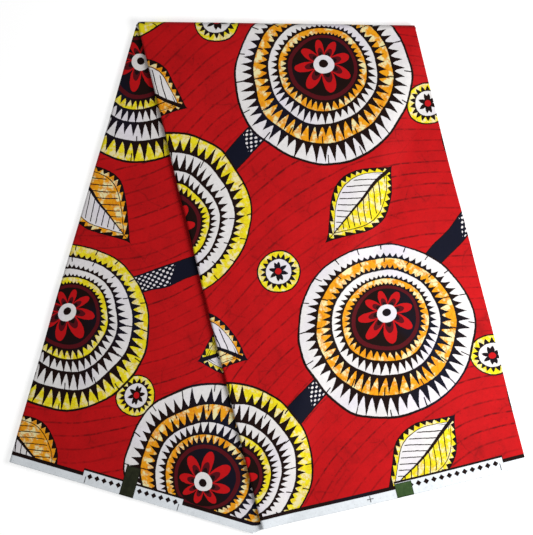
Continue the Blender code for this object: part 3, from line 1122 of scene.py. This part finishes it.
def selvedge(finish, base, along, across):
    """White woven edges, each with a black line beside it and a plain box of diamonds now and then."""
    from_edge = (across + LOWER_SLIP).least(CLOTH_WIDTH - across)
    other_end = (CLOTH_WIDTH / 2 - across).within(0.01)
    box_place = (along - (BOX_START - other_end * (BOX_START - OTHER_BOX_START))) / BOX_REPEAT
    from_box = ((box_place + 0.5).fraction() - 0.5) * BOX_REPEAT
    beside_box = from_box.size() - BOX_HALF
    outline = (from_edge - BOX_TOP - BOX_TOP_OUTLINE).within(PRINT_EDGE)
    outline = outline * (beside_box - BOX_OUTLINE).within(PRINT_EDGE)
    box = (from_edge - BOX_TOP).within(PRINT_EDGE) * beside_box.within(PRINT_EDGE)
    beside_diamond = ((from_box / DIAMOND_PITCH + 0.5).fraction() - 0.5).size() * DIAMOND_PITCH
    diamond = (beside_diamond + (from_edge - DIAMOND_ROW).size() - DIAMOND).within(PRINT_EDGE)
    diamond = diamond * (beside_box + DIAMOND).within(PRINT_EDGE)
    pins = ((along / PIN_PITCH).fraction() - 0.5).size() * PIN_PITCH
    pin = (radius(pins, from_edge - PIN_ROW) - PIN).within(PIN)
    tick = (beside_box + TICK).size().most((from_edge - TICK_ROW).size() - TICK_HALF)
    beside_cross = (from_box - CROSS).size()
    over_cross = (from_edge - CROSS_ROW).size()
    stroke = beside_cross.least(over_cross).most(beside_cross.most(over_cross) - CROSS_HALF)
    stroke = (stroke - MARK_LINE).within(PRINT_EDGE) * other_end
    base = finish.printed(base, finish.ink, from_edge - BORDER)
    base = finish.mix(base, finish.ink, outline)
    base = finish.mix(base, SELVEDGE_WHITE, box)
    base = finish.printed(base, SELVEDGE_WHITE, from_edge - SELVEDGE)
    base = finish.mix(base, finish.ink, diamond)
    base = finish.mix(base, PIN_GREY, pin * 0.6)
    base = finish.mix(base, finish.ink, (tick - MARK_LINE).within(PRINT_EDGE) * MARK_STRENGTH)
    return finish.mix(base, finish.ink, stroke * MARK_STRENGTH)


def weave_relief(finish, along, across):
    """Plain weave and its uneven threads, as a height."""
    pitch = math.pi / THREAD_PITCH
    threads = (along * pitch).sine() * (across * pitch).sine()
    warp = finish.noise(finish.join(along * 1400.0, across * 60.0), 1.0, detail=1.0)
    weft = finish.noise(finish.join(along * 60.0, across * 1400.0), 1.0, detail=1.0)
    return threads * 0.25 + warp * 0.6 + weft * 0.6


def wax_print(finish, place_node, along, across):
    """Colour of the print: ground, bars, rosettes, leaves and roundels, then the printed selvedges."""
    shaken_along, shaken_across = hand_drawn(finish, place_node, along, across)
    print_along = (shaken_along - PRINT_START[0]) / COLUMN
    column = print_along.nearest()
    odd = (column * 0.5).fraction() * 2.0
    print_across = (shaken_across - PRINT_START[1]) / REPEAT + odd * 0.5
    cell_along = (print_along - column) * COLUMN
    cell_across = (print_across - print_across.nearest()) * REPEAT
    side = 1.0 - odd * 2.0
    leaf_across = (print_across.fraction() - 0.5) * REPEAT - side * LEAF_SHIFT

    finish.ink = finish.mix(BLACK, NAVY, finish.noise(place_node, 8.0).above(0.52, 7.0))
    finish.white = finish.mix(WHITE, LILAC_WHITE, finish.noise(place_node, 16.0).above(0.47, 5.0))
    yellow = marbled(finish, place_node, YELLOW, DEEP_YELLOW, 100.0)
    orange = marbled(finish, place_node, ORANGE, DEEP_ORANGE, 85.0)
    gold = finish.mix(orange, yellow, odd)
    other_gold = finish.mix(yellow, orange, odd)
    outer_dye = finish.mix(gold, finish.white, 1.0 - odd)
    second_dye = finish.mix(gold, finish.white, odd)
    which = column * 1.7 + print_across.nearest() * 2.3

    colour = ground_cloth(finish, place_node, along, across)
    colour = bars(finish, colour, cell_along, cell_across)
    colour = rosette(finish, colour, cell_along, cell_across, yellow)
    colour = leaf(finish, colour, cell_along, leaf_across, side, other_gold)
    dyes = (outer_dye, second_dye, finish.white, gold)
    colour = roundel(finish, colour, cell_along, cell_across, odd, which, dyes)
    return selvedge(finish, colour, along, across)


def make_print(name):
    """Printed cotton, with its weave, painted shade in the weave's hollows, its unevenness and the small
    wrinkles that folding leaves.
    """
    finish = Finish(name)
    place_node, along, across = unfolded_place(finish)
    colour = wax_print(finish, place_node, along, across)
    relief = weave_relief(finish, along, across)
    uneven = finish.noise(place_node, 55.0, detail=3.0, roughness=0.6)
    mottle = finish.noise(place_node, 260.0, roughness=0.6)
    # Painted shade: the colour is darker where the weave's height is low. The other two noises vary the tone
    # at random.
    weave_shade_and_mottle = (relief * 0.10 + 0.94) * (uneven * 0.26 + 0.87) * (mottle * 0.28 + 0.86)
    colour = finish.node("ShaderNodeVectorMath", {"operation": "SCALE"}, {0: colour, "Scale": weave_shade_and_mottle})
    wrinkles = finish.noise(place_node, 42.0, detail=3.0, roughness=0.55)
    crinkles = finish.noise(place_node, 150.0)
    bumped = finish.bump(wrinkles, distance=0.0012, strength=0.45)
    bumped = finish.bump(crinkles, distance=0.0003, strength=0.35, under=bumped)
    bumped = finish.bump(relief, distance=0.00006, strength=0.6, under=bumped)
    finish.set(Base_Color=colour, Roughness=relief * 0.08 + 0.60, Normal=bumped)
    finish.set(Specular_IOR_Level=0.07, Sheen_Weight=0.02, Sheen_Roughness=0.45)
    return finish.material


LABEL_FRAME, FRAME_LINE = 0.0024, 0.0003
DARK_EDGE_INSET = 0.0003


def make_label_paper(name, colour, paler, width, length):
    """Dyed paper with a thin pale frame, darker along its edges."""
    finish = Finish(name)
    place_node, sideways, run = unfolded_place(finish)
    fibres = finish.noise(place_node, 900.0, detail=3.0, roughness=0.6)
    blotch = finish.noise(place_node, 160.0)
    worn = finish.noise(place_node, 420.0)
    tint = finish.mix(colour, paler, (blotch - 0.42) * 1.6 + (fibres - 0.5) * 0.6)
    from_edge = (width / 2 - sideways.size()).least(run).least(length - run)
    frame_line = ((from_edge - LABEL_FRAME).size() - FRAME_LINE).within(0.0004)
    tint = finish.mix(tint, paler, frame_line * (blotch - 0.2).clamped())
    # The paper is darker along its edges.
    darker_edge = (from_edge - DARK_EDGE_INSET - fibres * 0.0012).within(0.0010)
    tint = finish.mix(tint, tuple(channel * 0.5 for channel in colour), darker_edge * 0.7)
    bumped = finish.bump(fibres + blotch * 2.0, distance=0.00015, strength=0.5)
    finish.set(Base_Color=tint, Roughness=0.42 + worn * 0.25, Normal=bumped)
    finish.set(Specular_IOR_Level=0.15)
    return finish.material


def dress(piece, material):
    """Gives a piece its only material."""
    piece.data.materials.clear()
    piece.data.materials.append(material)


# The folded cloth

outer_cloth, outer_edges = make_outer_cloth()
inner_cloth, inner_edges = make_inner_cloth()
print_finish = make_print("printed_cotton")
dress(outer_cloth, print_finish)
dress(inner_cloth, print_finish)
threads_tree = edge_threads_tree()
cut_ends = [outer_edges["first_end"], inner_edges["last_end"]]
fray = edge_threads("cut_end_fray", cut_ends, threads_tree, FRAY, print_finish)
outer_loops, inner_loops = [
    edge_threads(
        name, [edges["lower_selvedge"], edges["upper_selvedge"]], threads_tree, WEFT_LOOPS, print_finish
    )
    for name, edges in (("outer_selvedge_loops", outer_edges), ("inner_selvedge_loops", inner_edges))
]
for piece, slot in (
    (outer_cloth, "printed_cotton"),
    (inner_cloth, "inner_cotton"),
    (fray, "printed_cotton"),
    (outer_loops, "printed_cotton"),
    (inner_loops, "inner_cotton"),
):
    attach(piece, "root")
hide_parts("outer_layer")
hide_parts("hidden_layers")

LABEL_FINISHES = (
    {"name": "dark_green_paper", "colour": (0.0100, 0.0120, 0.0035), "paler": (0.0260, 0.0290, 0.0110)},
    {"name": "green_paper", "colour": (0.0210, 0.0540, 0.0100), "paler": (0.0480, 0.0950, 0.0240)},
)
for label, paper_finish in zip(LABELS, LABEL_FINISHES):
    paper = make_label(**label)
    dress(paper, make_label_paper(**paper_finish, width=label["width"], length=label["length"]))
    slot = paper_finish["name"]
    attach(paper, "root")
    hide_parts(label["name"])


# Floor, light and camera

FRAME_WIDTH, FRAME_HEIGHT = 533, 535
PIXEL = 0.00122  # of the cloth, for one pixel of the photograph
MIDDLE = (267.95, 277.6)  # where the middle of the bundle's outline lies, in those pixels
CAMERA_HEIGHT = 2.6
SENSOR = 24.0
FLOOR_HALF = 4.0
FLOOR_LEVEL = -0.0002
FLOOR_GREY, FLOOR_PALER = (0.48, 0.48, 0.48), (0.50, 0.50, 0.50)
FLOOR_GLOW = 0.66  # so that the floor is as white as the photograph's ground
WINDOW = {"place_at": (0.50, -0.09, 0.62), "look_at": (0.07, 0.00, 0.0), "size": 0.5, "power": 7.45}
ROOM_LIGHT = 0.35


def make_floor():
    mesh = bpy.data.meshes.new("floor")
    corners = ((-1, -1), (1, -1), (1, 1), (-1, 1))
    points = [(x * FLOOR_HALF, y * FLOOR_HALF, FLOOR_LEVEL) for x, y in corners]
    mesh.from_pydata(points, [], [(0, 1, 2, 3)])
    finish = Finish("pale_floor")
    place_node = finish.node("ShaderNodeTexCoord", {}, [], 3)
    cloud = finish.noise(place_node, 3.0, 2.0)
    finish.set(Base_Color=finish.mix(FLOOR_GREY, FLOOR_PALER, cloud), Roughness=0.9)
    finish.set(Emission_Color=(1.0, 1.0, 1.0), Emission_Strength=FLOOR_GLOW)
    mesh.materials.append(finish.material)
    floor = link("floor", mesh)


def make_light(name, place_at, look_at, size, power):
    """A soft round light, itself unseen."""
    data = bpy.data.lights.new(name, "AREA")
    data.shape = "DISK"
    data.size = size
    data.energy = power
    light = link(name, data)
    light.visible_camera = False
    light.location = place_at
    direction = Vector(look_at) - Vector(place_at)
    light.rotation_euler = direction.to_track_quat("-Z", "Y").to_euler()


def make_room():
    """Even white light from all sides."""
    world = bpy.data.worlds.new("room")
    world.use_nodes = True
    background = world.node_tree.nodes["Background"].inputs
    background["Color"].default_value = (1.0, 1.0, 1.0, 1.0)
    background["Strength"].default_value = ROOM_LIGHT
    bpy.context.scene.world = world


def make_camera():
    data = bpy.data.cameras.new("camera")
    data.sensor_fit = "VERTICAL"
    data.sensor_height = SENSOR
    data.lens = SENSOR * CAMERA_HEIGHT / (FRAME_HEIGHT * PIXEL)
    camera = link("camera", data)
    camera.location = (
        (FRAME_WIDTH / 2 - MIDDLE[0]) * PIXEL,
        (MIDDLE[1] - FRAME_HEIGHT / 2) * PIXEL,
        CAMERA_HEIGHT,
    )
    bpy.context.scene.camera = camera
    bpy.context.scene.view_settings.view_transform = "Standard"


make_floor()
make_light("window", **WINDOW)
make_room()
make_camera()
